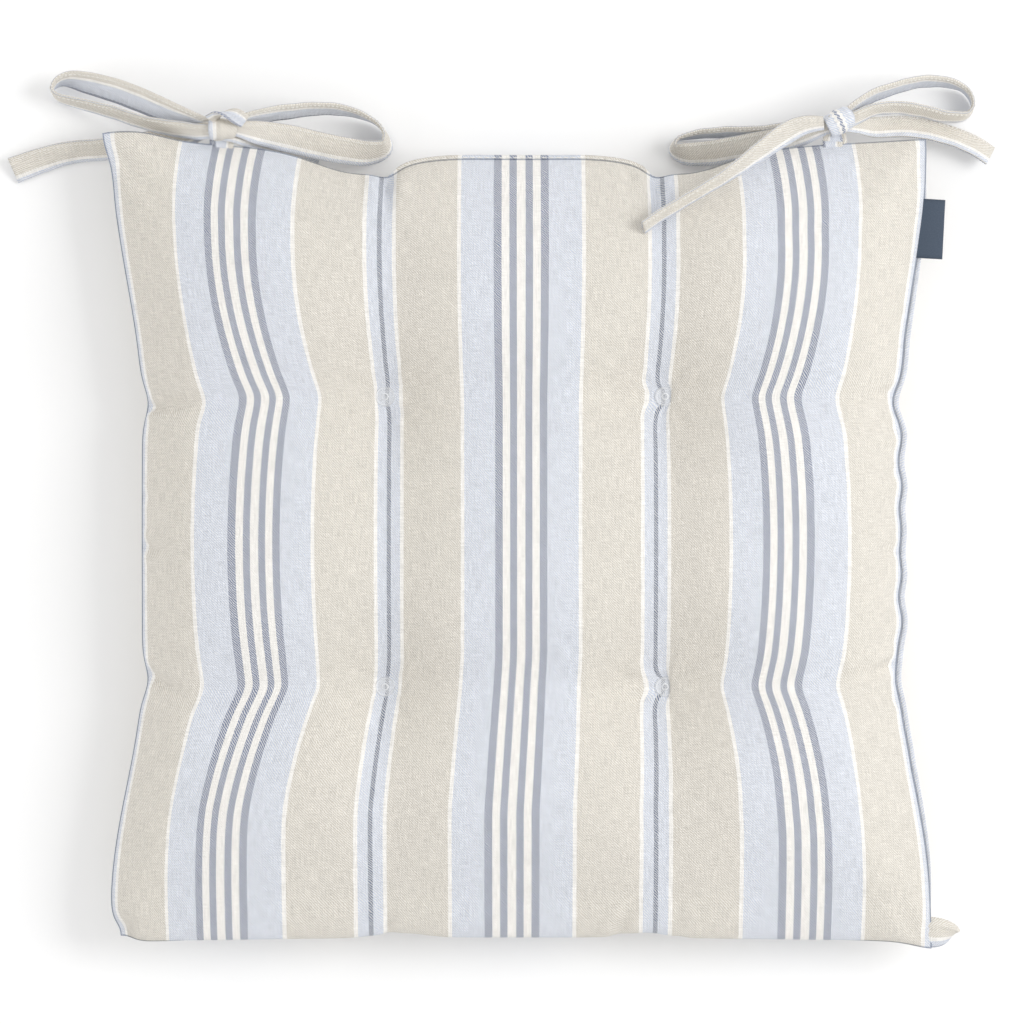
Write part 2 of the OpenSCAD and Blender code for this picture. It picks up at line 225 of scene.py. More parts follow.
def woven(n, u, v, warp):
    """Colour and height of a twill: warp-coloured yarns crossed by pale ones. The place
    (u, v) is in millimetres."""
    wobble = n.math("MULTIPLY", n.noise(u, v, scale=0.35), 0.9)
    across = n.math("DIVIDE", n.math("ADD", u, wobble), YARN)
    along = n.math("DIVIDE", n.math("ADD", v, wobble), YARN)
    diagonal = n.math("SINE", n.math("MULTIPLY", n.math("ADD", across, along), math.tau / TWILL))
    warp_rib = n.math("SINE", n.math("MULTIPLY", across, math.tau))
    weft_rib = n.math("SINE", n.math("MULTIPLY", along, math.tau))
    share = n.math("MULTIPLY_ADD", diagonal, 0.45, 0.3, clamp=True)
    colour = n.mix(share, warp, (*WEFT, 1))
    slub_along = n.noise(n.math("DIVIDE", u, 0.5), n.math("DIVIDE", v, 9), 3.0)
    slub_across = n.noise(n.math("DIVIDE", u, 7), n.math("DIVIDE", v, 0.45), 9.0)
    slubs = n.math("ADD", slub_along, slub_across)
    shade = n.math("MULTIPLY_ADD", slubs, 0.48, 0.53)
    patch = n.math("MULTIPLY_ADD", n.noise(u, v, 5.0, scale=0.03), 0.05, 0.975)
    level = n.math("MULTIPLY", shade, patch)
    grey = n.new("ShaderNodeCombineColor")
    for socket in grey.inputs:
        n.link(level, socket)
    colour = n.mix(1.0, colour, grey.outputs[0], "MULTIPLY")
    dots = n.noise(n.math("DIVIDE", u, 0.5), n.math("DIVIDE", v, 0.9), 21.0, 0.0)
    fleck = n.math("GREATER_THAN", dots, 0.8)
    colour = n.mix(n.math("MULTIPLY", fleck, 0.5), colour, (*WEFT, 1))
    ribs = n.math("ADD", n.math("MULTIPLY", warp_rib, 0.5), n.math("MULTIPLY", weft_rib, 0.35))
    height = n.math("ADD", n.math("ADD", ribs, n.math("MULTIPLY", diagonal, 0.8)), slubs)
    return colour, height


def finish_cotton(n, colour, height, strength):
    n.set(Base_Color=colour, Roughness=0.9, Sheen_Weight=0.15, Sheen_Roughness=0.5)
    n.set(Specular_IOR_Level=0.2)
    n.bump(height, 0.00012, strength)
    return n.material


def striped_cloth():
    """The panels' cloth: stripes by place, and a painted shade where the cloth turns into the seam, for
    the shade of its fold.
    """
    n = Nodes("striped_cotton_weave")
    u, v = n.cloth_place()
    frayed = n.math("MULTIPLY_ADD", n.noise(n.math("MULTIPLY", u, 2), n.math("DIVIDE", v, 3)), 0.3, -0.15)
    fold = n.math("PINGPONG", n.math("ABSOLUTE", n.math("ADD", u, frayed)), HALF_REPEAT)
    warp = n.ramp(n.math("DIVIDE", fold, HALF_REPEAT), [(s / HALF_REPEAT, c) for s, c in STRIPES])
    colour, height = woven(n, u, v, warp)
    to_edges = [
        n.math("ABSOLUTE", n.math("SUBTRACT", n.math("ABSOLUTE", place), half))
        for place, half in ((u, HALF_U), (v, HALF_V))
    ]
    # painted shade: the colour is darkened towards the seam, where the cloth folds into it
    from_seam = n.math("DIVIDE", n.math("MINIMUM", *to_edges), SEAM_PAINTED_SHADE_HALF, clamp=True)
    colour = n.mix(from_seam, n.mix(1.0, colour, (*SEAM_PAINTED_SHADE, 1), "MULTIPLY"), colour)
    return finish_cotton(n, colour, height, 0.7)


# The tape is cut along the same stripes: its width runs from -7 mm at the stitched edge
# to 7 mm on the blue face, the beige face has the same plus BACK, and the wraps of the
# knots have it plus CENTRED
BACK = 20
CENTRED = 44
TAPE_START = -10  # where the ramp of stripes starts
TAPE_SPAN = 64
TAPE_STRIPES = (
    (-10, BEIGE), (-3.6, WHITE), (-2.0, BLUE), (5.4, GREY),
    (10, BEIGE), (23.0, WHITE), (24.6, BLUE),
    (41.8, WHITE), (43.4, GREY), (45.0, WHITE), (46.4, BLUE),
)


def striped_tape():
    """The ties' cloth: stripes by place, with a zigzag where the grey line runs."""
    n = Nodes("striped_tape_weave")
    x, along = n.cloth_place()
    zigzag = n.math("MULTIPLY_ADD", n.math("PINGPONG", along, 1.1), 0.7, -0.4)
    near_grey = n.math("LESS_THAN", n.math("ABSOLUTE", n.math("SUBTRACT", x, 6)), 4)
    has_zigzag = n.math("MAXIMUM", near_grey, n.math("GREATER_THAN", x, 32))
    edge = n.math("ADD", x, n.math("MULTIPLY", zigzag, has_zigzag))
    place = n.math("DIVIDE", n.math("SUBTRACT", edge, TAPE_START), TAPE_SPAN)
    warp = n.ramp(place, [((s - TAPE_START) / TAPE_SPAN, c) for s, c in TAPE_STRIPES])
    colour, height = woven(n, x, along, warp)
    return finish_cotton(n, colour, height, 0.6)


def object_noise(n, scale, detail=2.0):
    where = n.new("ShaderNodeTexCoord").outputs["Object"]
    node = n.new("ShaderNodeTexNoise")
    node.inputs["Scale"].default_value = scale
    node.inputs["Detail"].default_value = detail
    n.link(where, node.inputs["Vector"])
    return node.outputs[0]


def two_tone(name, low, high, scale, bump, detail=2.0, **values):
    """A fine random mix of two close colours."""
    n = Nodes(name)
    noise = object_noise(n, scale, detail)
    n.set(Base_Color=n.mix(noise, (*low, 1), (*high, 1)), **values)
    n.bump(noise, bump)
    return n.material


def label_weave():
    n = Nodes("label_weave")
    u, v = n.cloth_place()
    rib = n.math("SINE", n.math("MULTIPLY", v, math.tau / 0.36))
    cross = n.math("SINE", n.math("MULTIPLY", u, math.tau / 0.3))
    height = n.math("ADD", rib, n.math("MULTIPLY", cross, 0.5))
    fuzz = n.noise(u, v, scale=1.5)
    share = n.math("MULTIPLY_ADD", height, 0.12, n.math("MULTIPLY", fuzz, 0.7), clamp=True)
    n.set(Base_Color=n.mix(share, (*linear(62, 74, 90), 1), (*linear(92, 104, 120), 1)))
    n.set(Roughness=0.6, Specular_IOR_Level=0.35)
    n.bump(height, 0.00008, 0.6)
    return n.material


def clear_plastic():
    """Clear where it faces straight up or down and more opaque white where it is steep, a painted
    highlight for the light that its rim catches, so that its rim shows most.
    """
    n = Nodes("clear_moulded_plastic")
    noise = object_noise(n, 220)
    n.set(Base_Color=(0.96, 0.97, 0.98, 1), IOR=1.49)
    facing = n.new("ShaderNodeSeparateXYZ")
    n.link(n.new("ShaderNodeNewGeometry").outputs["Normal"], facing.inputs[0])
    level = n.math("ABSOLUTE", facing.outputs[2])
    # painted highlight: steep faces, the rim, are made more opaque white
    n.set(Alpha=n.math("MULTIPLY_ADD", level, -1.5, 1.72, clamp=True))
    n.set(Roughness=n.math("MULTIPLY_ADD", noise, 0.12, 0.05))
    n.bump(noise, 0.00004)
    return n.material


CLOTH = striped_cloth()
TAPE = striped_tape()
THREAD = two_tone(
    "twisted_white_thread", linear(226, 222, 214), linear(250, 249, 246), 1800, 0.00008,
    Roughness=0.75, Sheen_Weight=0.2,
)
FIBRE = two_tone(
    "polyester_fibre", linear(232, 232, 230), linear(252, 252, 252), 420, 0.0006, 6.0,
    Roughness=0.95, Sheen_Weight=0.4,
)
LABEL = label_weave()
PLASTIC = clear_plastic()


# ---------------------------------------------------------------- tie routes
# The CAD model's routes in millimetres: x, y, z, tilt of the width out of level in
# degrees, and width
LEFT_OUTER = [
    [-147, 195.4, 30.5, 0, 10], [-147.5, 199, 31.2, 0, 8], [-150.5, 202.5, 31.8, 20, 7],
    [-158, 205, 30.5, 36, 9], [-171, 209.5, 26.5, 38, 13], [-186, 216, 21, 36, 14],
    [-202, 222, 15, 38, 14], [-217, 226, 10.5, 50, 14], [-226, 226, 8.8, 72, 14],
    [-230, 222, 8.2, 90, 14], [-226.5, 217.5, 8.2, 101, 14], [-215, 214.5, 9.5, 107, 14],
    [-202, 211, 13.5, 110, 14], [-188, 206, 19, 112, 14], [-174, 202.5, 26, 122, 12],
    [-160, 200, 33, 145, 9], [-150, 199.5, 36.2, 165, 7], [-141, 198.5, 34, 180, 8],
    [-128, 196.5, 25.5, 180, 12], [-113, 194, 14.5, 180, 14], [-99, 192.5, 7, 180, 14],
]
LEFT_INNER = [
    [-145, 195.4, 32.5, 0, 10], [-144.5, 199.5, 34, 0, 8], [-141, 203, 34.5, -20, 7],
    [-131, 206.5, 33, -50, 9], [-117, 209.5, 28.5, -62, 13], [-101, 211.5, 22.5, -68, 14],
    [-86, 211, 16.5, -74, 14], [-74, 207, 11.5, -84, 14], [-67, 200.5, 9, -96, 14],
    [-66.5, 193.5, 9.5, -118, 14], [-74, 190.5, 12, -145, 14], [-86, 191.5, 15.5, -162, 14],
    [-100, 194, 20, -165, 14], [-114, 197, 26, -165, 14], [-128, 199.5, 32, -165, 12],
    [-138, 201, 36.5, -170, 8], [-146, 201.5, 38, -180, 7], [-154, 200.5, 34, -180, 8],
    [-165, 198, 21.5, -170, 11], [-179, 195.5, 13.5, -155, 14], [-193, 193.5, 9.5, -142, 14],
    [-208, 192.5, 7.5, -135, 14], [-222, 191, 6.5, -138, 14], [-236, 187.5, 5, -148, 14],
    [-250, 182.5, 3.6, -158, 14],
]
RIGHT_INNER = [
    [154, 195.4, 30.5, 0, 10], [154, 199.5, 31.2, 0, 8], [150, 203, 31.6, 25, 7],
    [141, 203, 30, 55, 9], [128, 201.5, 26, 68, 13], [114, 200.5, 20.5, 72, 14],
    [100, 200.5, 15, 74, 14], [87, 200, 10.5, 78, 14], [77.5, 197.5, 8.8, 88, 14],
    [75, 193, 8.5, 108, 14], [81, 190.5, 9.5, 138, 14], [92, 190.5, 12.5, 150, 14],
    [106, 192.5, 17.5, 152, 14], [120, 195, 23.5, 152, 14], [134, 198, 29.5, 152, 13],
    [145, 201, 34.5, 160, 9], [154, 203, 36, 170, 7], [163, 203, 31.5, 185, 8],
    [173, 202.5, 22.5, 200, 11], [185, 203.5, 16, 215, 13], [198, 202.5, 11, 222, 14],
    [211, 199.5, 8, 225, 14], [222, 195, 6.4, 225, 14], [231, 189.5, 5.8, 225, 14],
]
RIGHT_OUTER = [
    [152, 195.4, 32.5, 0, 10], [152.5, 199.5, 34.2, 0, 8], [156, 205, 35.5, -25, 7],
    [163, 211.5, 34.5, -55, 9], [172, 217.5, 31, -65, 12], [184, 222, 26, -70, 14],
    [197, 225, 20, -72, 14], [209, 225, 14, -75, 14], [218, 221.5, 9.5, -82, 14],
    [222, 214.5, 8, -90, 14], [218.5, 209, 8.5, -100, 14], [208, 208.5, 12, -108, 14],
    [196, 211, 17.5, -110, 14], [184, 212, 23.5, -110, 14], [172, 210.5, 30, -115, 12],
    [163, 206.5, 35, -135, 9], [155, 203.8, 38.5, -165, 7], [149.5, 203.6, 40, -180, 7.5],
]
RIGHT_TAIL = [
    [147, 203.5, 41, -180, 7], [138, 202.5, 42.4, -165, 9.5], [129, 198.5, 44, -150, 12],
    [119, 191.5, 47, -140, 12], [109, 184, 51, -132, 11], [98, 176.5, 54.5, -125, 10],
    [88, 170, 57, -125, 9], [77, 163.5, 58.5, -125, 9], [67, 157.5, 60.5, -125, 9],
    [59, 151.5, 63, -125, 9],
]
TAPE_WIDTH = 14
TAPE_THICK = 1.6
HEM = 1.6  # from a tape's edge to its topstitch
HEM_START = 4  # where the topstitch starts, clear of the hinge
THREAD_D = 0.5


def unit(v):
    return v / np.linalg.norm(v, axis=-1, keepdims=True)


def dense(route, steps):
    """A smooth line through the route's points."""
    p = np.array(route, float)
    p = np.vstack([p[:1], p, p[-1:]])
    rows = []
    for i in range(1, len(p) - 2):
        a, b, c, d = p[i - 1 : i + 3]
        bend, twist = 2 * a - 5 * b + 4 * c - d, 3 * b - a - 3 * c + d
        for t in np.arange(steps) / steps:
            rows.append(0.5 * (2 * b + (c - a) * t + bend * t**2 + twist * t**3))
    return np.array(rows + [p[-2]])


def tape_frame(route, steps):
    """Points, width directions, thickness directions, widths and distances along a route."""
    line = dense(route, steps)
    place = line[:, :3]
    ahead = unit(np.gradient(place, axis=0))
    side = unit(np.cross(ahead, [0, 0, 1]))
    over = np.cross(side, ahead)
    tilt = np.radians(line[:, 3:4])
    across = side * np.cos(tilt) + over * np.sin(tilt)
    up = np.cross(across, ahead)
    steps_along = np.linalg.norm(np.diff(place, axis=0), axis=1)
    return place, across, up, line[:, 4], np.concatenate([[0], np.cumsum(steps_along)])


def strip_faces(rings, sides):
    """Faces of a tube of rings, closed at both ends."""
    faces = []
    for i in range(rings - 1):
        for k in range(sides):
            a, b = i * sides, (i + 1) * sides
            beside = (k + 1) % sides
            faces.append((a + k, a + beside, b + beside, b + k))
    faces.append(tuple(range(sides - 1, -1, -1)))
    last = (rings - 1) * sides
    faces.append(tuple(last + k for k in range(sides)))
    return faces


ACROSS = 9  # points across one face of a tape
CRUMPLE = 0.06  # height of the pleats for each millimetre that a tape is gathered
PLEATS = 2.5 * math.pi  # the pleats' phase from a tape's middle to its edge


def ripple(run):
    """Small waves along a tape, in millimetres."""
    return 0.14 * np.sin(run / 5.3) + 0.09 * np.sin(run / 2.1 + 1)


def tape_section(width, edge):
    """Points round a folded tape: (across, up, stripe place). Edge 1 or -1 is the stitched one."""
    half, b = width / 2, TAPE_THICK / 2
    crumple = (TAPE_WIDTH - width) * CRUMPLE
    t = np.linspace(1, -1, ACROSS)
    wave = crumple * np.cos(t * PLEATS)
    fold = b * (1 - 0.35 * np.abs(t) ** 6)
    side = -edge * TAPE_WIDTH / 2
    top = np.stack([t * (half - 0.25 * b), wave + fold, t * side], 1)
    low = np.stack([-t * (half - 0.25 * b), wave[::-1] - fold[::-1], BACK - t * side], 1)
    left = np.array([[-half, wave[-1], -side]])
    right = np.array([[half, wave[0], side]])
    return np.vstack([top, left, low, right])


def tape_mesh(route, steps, edge=-1):
    """Points, faces and cloth places of a folded tape along a route."""
    place, across, up, width, run = tape_frame(route, steps)
    points, uv = [], []
    for i in range(len(place)):
        section = tape_section(width[i], edge)
        height = section[:, 1:2] + ripple(run[i])
        points.append(place[i] + section[:, :1] * across[i] + height * up[i])
        uv.append(np.stack([section[:, 2], np.full(len(section), run[i])], 1))
    return np.vstack(points), strip_faces(len(points), len(points[0])), np.vstack(uv)


def tape_piece(name, route, edge, steps=6):
    points, faces, uv = tape_mesh(route, steps, edge)
    obj = mesh_object(name, points, faces, TAPE)
    vertex_uv(obj, uv)
    return obj


STITCH_BOW = (-0.5, 0.5, 0.8, 0.5, -0.5)  # a stitch's rise along it, in thread radii
STITCH_SIZE = (0.55, 1, 1, 1, 0.55)
THREAD_SIDES = 6


def round_thread(line, side, over, radius):
    """Points of the rings of a thread, ring by ring."""
    angles = [math.tau * k / THREAD_SIDES for k in range(THREAD_SIDES)]
    rings = [line + radius * (math.cos(a) * side + math.sin(a) * over) for a in angles]
    return np.stack(rings, 1).reshape(-1, 3)


def stitch_run(points, ups, length, gap, start=0.5):
    """Separate stitches along a line, each one a short bowed thread: points and faces."""
    run = np.concatenate([[0], np.cumsum(np.linalg.norm(np.diff(points, axis=0), axis=1))])
    bow = np.array(STITCH_BOW)[:, None] * THREAD_D / 2
    size = np.array(STITCH_SIZE)[:, None] * THREAD_D / 2
    stitches = []
    while start + length < run[-1]:
        at = np.linspace(start, start + length, len(bow))
        line = np.stack([np.interp(at, run, points[:, k]) for k in range(3)], 1)
        over = unit(np.stack([np.interp(at, run, ups[:, k]) for k in range(3)], 1))
        line = line + over * bow
        ahead = unit(np.gradient(line, axis=0))
        rings = round_thread(line, np.cross(ahead, over), over, size)
        stitches.append((rings, strip_faces(len(bow), THREAD_SIDES)))
        start += length + gap
    return joined(stitches)


def tape_topstitch(name, route, edge, steps=6):
    """The row of stitches along one edge of a tape, on both its faces."""
    place, across, up, width, run = tape_frame(route, steps)
    t = np.clip(1 - HEM / (width / 2), 0, 1)
    wave = (TAPE_WIDTH - width) * CRUMPLE * np.cos(t * PLEATS)
    rows = []
    for face in (1, -1):
        lift = wave + face * TAPE_THICK / 2 + ripple(run)
        line = place + edge * across * (t * width / 2)[:, None] + up * lift[:, None]
        rows.append(stitch_run(line, up * face, 1.6, 0.7, start=HEM_START))
    return mesh_object(name, *joined(rows), THREAD)


TURN_LENGTH = 28  # of tape in one turn of a knot


def knot_piece(name, middle, half_y, half_z, turn, blue_out, curl=None):
    """A wrap of tape round the strands: a turn and a bit, gathered into soft pleats. The
    turn is that of its axis from +X, in degrees."""
    turns, rings, cols = 1.12, 48, 13
    outer = -1 if blue_out else 1
    c, s = math.cos(math.radians(turn)), math.sin(math.radians(turn))
    points, uv = [], []
    for i in range(rings):
        part = i / (rings - 1)
        angle = math.pi * 1.35 + math.tau * turns * part
        lift = 0.9 * part
        width = 13.6 - 0.8 * math.cos(angle * 2) - 2.5 * abs(2 * part - 1) ** 6
        for face in (1, -1):
            for k in range(cols):
                t = (1 - 2 * k / (cols - 1)) * face
                pleat = 0.3 * math.cos(t * PLEATS + 0.6 * math.sin(angle))
                reach = lift + (pleat + face * 0.6) * (1 - 0.5 * abs(t) ** 4) - 0.4
                x = t * width / 2 + 0.9 * math.sin(angle)
                y = (half_y * (1 - 0.16 * t * t) + reach) * math.cos(angle)
                z = (half_z * (1 - 0.16 * t * t) + reach) * math.sin(angle)
                points.append([middle[0] + x * c - y * s, middle[1] + x * s + y * c, middle[2] + z])
                stripes = BACK if face == outer else CENTRED
                uv.append([stripes - t * TAPE_WIDTH / 2, TURN_LENGTH * turns * part])
    parts = [(points, strip_faces(rings, 2 * cols))]
    if curl:
        more, more_faces, more_uv = tape_mesh(curl, 6)
        parts.append((more, more_faces))
        uv = np.vstack([uv, more_uv])
    obj = mesh_object(name, *joined(parts), TAPE)
    vertex_uv(obj, uv)
    subdivide(obj)
    return obj


def make_tie(name, route, edge, body, stitch):
    """A tie's tape and topstitch, riding its bow, and the cord that they are."""
    tape = tape_piece(name + "_tape", route, edge)
    topstitch = tape_topstitch(name + "_topstitch", route, edge)
    for piece, node, slot in ((tape, name, "striped_tape"), (topstitch, stitch, "white_thread")):
        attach(piece, body)
        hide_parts(node)


LEFT_CURL = [
    [-151, 205, 38, 150, 8], [-148, 207.5, 40, 115, 7], [-143, 208, 41.5, 60, 8],
    [-138, 206.5, 42, 10, 8], [-134, 204, 41, -20, 7],
]
left_wrap = knot_piece("left_knot_wrap", (-146, 201, 34.5), 4.6, 5.6, 2, False, LEFT_CURL)
right_wrap = knot_piece("right_knot_wrap", (154.5, 204.5, 36), 5.4, 6.0, 28, True)
for wrap, node, body in ((left_wrap, "left_knot", "left_bow"), (right_wrap, "right_knot", "right_bow")):
    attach(wrap, body)
    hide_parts(node)
make_tie("left_outer_tie", LEFT_OUTER, 1, "left_bow", "left_outer_tie_stitch")
make_tie("left_inner_tie", LEFT_INNER, -1, "left_bow", "left_inner_tie_stitch")
make_tie("right_inner_tie", RIGHT_INNER, 1, "right_bow", "right_inner_tie_stitch")
make_tie("right_outer_tie", RIGHT_OUTER, -1, "right_bow", "right_outer_tie_stitch")
make_tie("right_outer_tie_tail", RIGHT_TAIL, -1, "right_tail", "right_outer_tail_stitch")


# ---------------------------------------------------------------- pad
def box_mm(node):
    """A CAD node's lowest and highest corner, to a tenth of a millimetre."""
    return np.round(np.array(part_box(node)) / MM, 1)


# Where the tufts go through the flat panels, in millimetres of cloth from the middle
TUFT_CLOTH = np.array([74.5, 76.0])
# The sewn pad's corners and seam level, and its tufts' spacing, shift to the right and ends
HALF_X, HALF_Y = box_mm("top_panel")[1, :2]
SEAM_Z = box_mm("top_panel")[0, 2]
DISCS = np.array([box_mm(f"tuft_disc_top_{k}").mean(0) for k in (1, 2, 3, 4)])
TUFT = np.ptp(DISCS, axis=0)[:2] / 2
TUFT_SHIFT = DISCS[:, 0].mean()
TUFT_LOW_Z, TUFT_TOP_Z = box_mm("tuft_stem_1")[:, 2]
# How far the filling would push each panel, and the share it loses along the tufts' rows
PUFF_TOP = 41.0
PUFF_LOW = 35.0
TOP_FURROW = 0.3
LOW_FURROW = 0.15
FURROW_HALF = 19


def bell(t, middle, spread):
    """A smooth bump at middle, and its mirror image at -middle."""
    return np.exp(-(((np.abs(t) - middle) / spread) ** 2))


GATHER = 1.1  # millimetres that the right seam wavers where the tufts pull it

# Corners that are not plain: where, how far the tip is moved across and along, and over
# what reach. The rear left one stands out, and the front ones are drawn in
CORNERS = (
    (-200, 196, -6, -2.5, 12), (-192, 196, 0, 6, 20),
    (200, -196, 0, -2.5, 12), (-200, -196, 5, 4, 11),
)
# How far the stripes stray from their plain places, in millimetres
REAR_TURN = 4.5  # inwards: the outer ones, where they reach the rear seam
WAIST_SPREAD = 4.0  # outwards: the outermost ones, between the tufts' rows
FRONT_LEAN = 4.5  # to the left: all, near the front
RIGHT_LEAN = 2.5  # to the left: the right outer ones, behind the tufts
RIGHT_DRIFT = 0.7  # to the left: those beside the right tufts


def plan(x, y):
    """Where a point of the plain square goes once the seams pull in between the corners."""
    u, v = x / HALF_X, y / HALF_Y
    span = np.where(v > 0, 0.68, 0.6)
    fall = np.cos(math.pi / 2 * np.clip((np.abs(v) - 0.31) / span, 0, 1)) ** 2
    waist = 15 * fall + 3 * bell(v, 0.345, 0.05)
    rear = 9 * (1 - u * u) ** 2 + 10 * bell(u, 0.4, 0.14) + 3.5 * bell(u, 0.325, 0.035)
    front = 2.5 * (1 - u * u) + 3 * bell(u, 0.3, 0.08)
    out_x = x - np.sign(x) * waist * np.abs(u) ** 4
    out_y = y - np.sign(y) * np.where(v > 0, rear, front) * np.abs(v) ** 4
    for at_x, at_y, dx, dy, reach in CORNERS:
        near = np.exp(-(((x - at_x) ** 2 + (y - at_y) ** 2) / reach**2))
        out_x, out_y = out_x + dx * near, out_y + dy * near
    gathers = np.sin(y / 4.1 + 1.5 * np.sin(y / 23)) * np.exp(-(((np.abs(y) - 45) / 38) ** 2))
    out_x = out_x + GATHER * gathers * (x > 0) * np.abs(u) ** 12
    return out_x, out_y


def through(t, knots, values):
    """Odd smooth curve through (knot, value) pairs, which may vary from row to row."""
    away = np.abs(t)
    gaps = [b - a for a, b in zip(knots[:-1], knots[1:])]
    slopes = [(b - a) / gap for a, b, gap in zip(values[:-1], values[1:], gaps)]
    middles = [0.5 * (a + b) for a, b in zip(slopes[:-1], slopes[1:])]
    at_knots = [slopes[0], *middles, slopes[-1]]
    out = 0.0
    for k, gap in enumerate(gaps):
        s = np.clip((away - knots[k]) / gap, 0, 1)
        start, end = at_knots[k] - slopes[k], at_knots[k + 1] - slopes[k]
        out = out + s * (values[k + 1] - values[k]) + s * (1 - s) * gap * ((1 - s) * start - s * end)
    return np.sign(t) * out


def flat_to_plan(uu, vv):
    """Where the cloth lies in plan: stripes gather towards the tufts and spread at the corners."""
    y = through(vv, (0, TUFT_CLOTH[1], HALF_V), (0, TUFT[1], HALF_Y))
    spread = 1 - (1 - np.clip((np.abs(y) - TUFT[1]) / 75, 0, 1)) ** 2
    belly = 1 - (y / TUFT[1]).clip(-1, 1) ** 2
    values = (0, 66 + 4.5 * spread, 126.5 + 15.5 * spread + 5 * belly, HALF_X)
    x = through(uu, (0, HALF_REPEAT, 2 * HALF_REPEAT, HALF_U), values)
    across, right = x / HALF_X, x > 0
    outer = bell(across, 0.72, 0.25)
    inwards = REAR_TURN * ((y - 160) / 36).clip(0, 1) ** 1.5 * outer
    inwards = inwards - WAIST_SPREAD * bell(y / HALF_Y, 0, 0.6) * bell(across, 0.84, 0.1)
    left = FRONT_LEAN * ((-55 - y) / 75).clip(0, 1) * (1 - across**6)
    left = left + right * RIGHT_LEAN * ((y - 50) / 50).clip(0, 2) * outer
    drift = np.where(right, -RIGHT_DRIFT, TUFT_SHIFT) * bell(across, 0.36, 0.2)
    return plan(x + drift - left - np.sign(x) * inwards, y)


def furrow(t, tuft, depth):
    """The share of its height that the filling loses along a row of tufts."""
    return depth * np.exp(-((np.abs(np.abs(t) - tuft) / FURROW_HALF) ** 1.4))


def filling_height(x, y, full, at_tuft, depth):
    """How far the filling pushes the cloth from the seam's level."""
    square = (1 - np.abs(x / HALF_X) ** 3.1).clip(0) * (1 - np.abs(y / HALF_Y) ** 3.1).clip(0)
    x = x - TUFT_SHIFT
    valleys = furrow(x, TUFT[0], depth) + furrow(y, TUFT[1], depth)
    plain = full * square**0.43 * (1 - valleys)
    away = np.maximum(0, np.hypot(np.abs(x) - TUFT[0], np.abs(y) - TUFT[1]) - 6)
    dimple = np.exp(-((away / 15) ** 1.15))
    return np.maximum(0, plain * (1 - dimple) + at_tuft * dimple)


def lumps(x, y):
    """The loose filling's unevenness, in millimetres."""
    return (
        1.1 * np.sin(x / 31 + 1.0) * np.cos(y / 37 - 0.4)
        + 0.8 * np.sin(x / 17 - y / 23 + 2.0)
        + 0.5 * np.cos(x / 13 + y / 15)
    )


# Creases of the top panel: from (x, y) to (x, y), depth and half width
CREASES = (
    (-186, 66, -166, 65, 4.5, 2.0), (-180, 68, -140, 67, 1.5, 3.0), (-152, 66, -90, 69, 1.2, 5),
    (-186, -2, -166, -4, 2.2, 2.4), (-188, 22, -170, 19, 1.0, 2.6),
    (-186, -62, -156, -77, 3.0, 2.5), (-160, -76, -100, -72, 1.2, 5),
    (190, 74, 164, 69, 2.4, 2.4), (190, 54, 158, 60, 2.0, 2.8),
    (190, 34, 172, 32, 1.6, 2.4), (190, -4, 168, -6, 2.0, 2.4),
    (188, -58, 156, -66, 3.0, 2.6), (192, -80, 166, -74, 2.0, 2.6),
    (-64, 182, -67, 148, 3.5, 3.0), (64, 182, 67, 148, 3.5, 3.0),
    (-80, 184, -76, 160, 1.4, 2.6), (50, 186, 55, 164, 1.2, 2.6), (93, 182, 99, 162, 1.6, 2.6),
    (-62, -198, -67, -160, 2.0, 3.0), (46, -198, 60, -160, 2.2, 3.0), (78, -198, 74, -170, 1.2, 3.0),
    (-196, 188, -172, 160, 1.6, 4.0), (200, 190, 176, 160, 1.4, 4.0),
    (190, -186, 172, -160, 1.6, 4.0), (-196, -190, -174, -164, 1.4, 4.0),
)
# How far each panel rolls out past the seam, at the right, left, rear and front
ROLL_OUT = ((0.3, 0.3, 0.2, 3.0), (6.5, 0.2, 0.3, 0.3))
ROLL_REACH = 26


def rolled(p, uu, vv):
    """Lets each panel belly out beyond the seam where the filling lies against it."""
    edges = (
        (HALF_U - uu, 0, 1), (HALF_U + uu, 0, -1),
        (HALF_V - vv, 1, 1), (HALF_V + vv, 1, -1),
    )
    for side in (0, 1):
        for (away, axis, sign), most in zip(edges, ROLL_OUT[side]):
            other = vv / HALF_V if axis == 0 else uu / HALF_U
            swell = np.sin(math.pi * np.clip(away / ROLL_REACH, 0, 1) ** 0.6)
            p[side, ..., axis] += sign * most * swell * (1 - np.abs(other) ** 6)
    return p


TUFT_PLEATS = 9
TUFT_PLEAT_DEPTH = 0.5


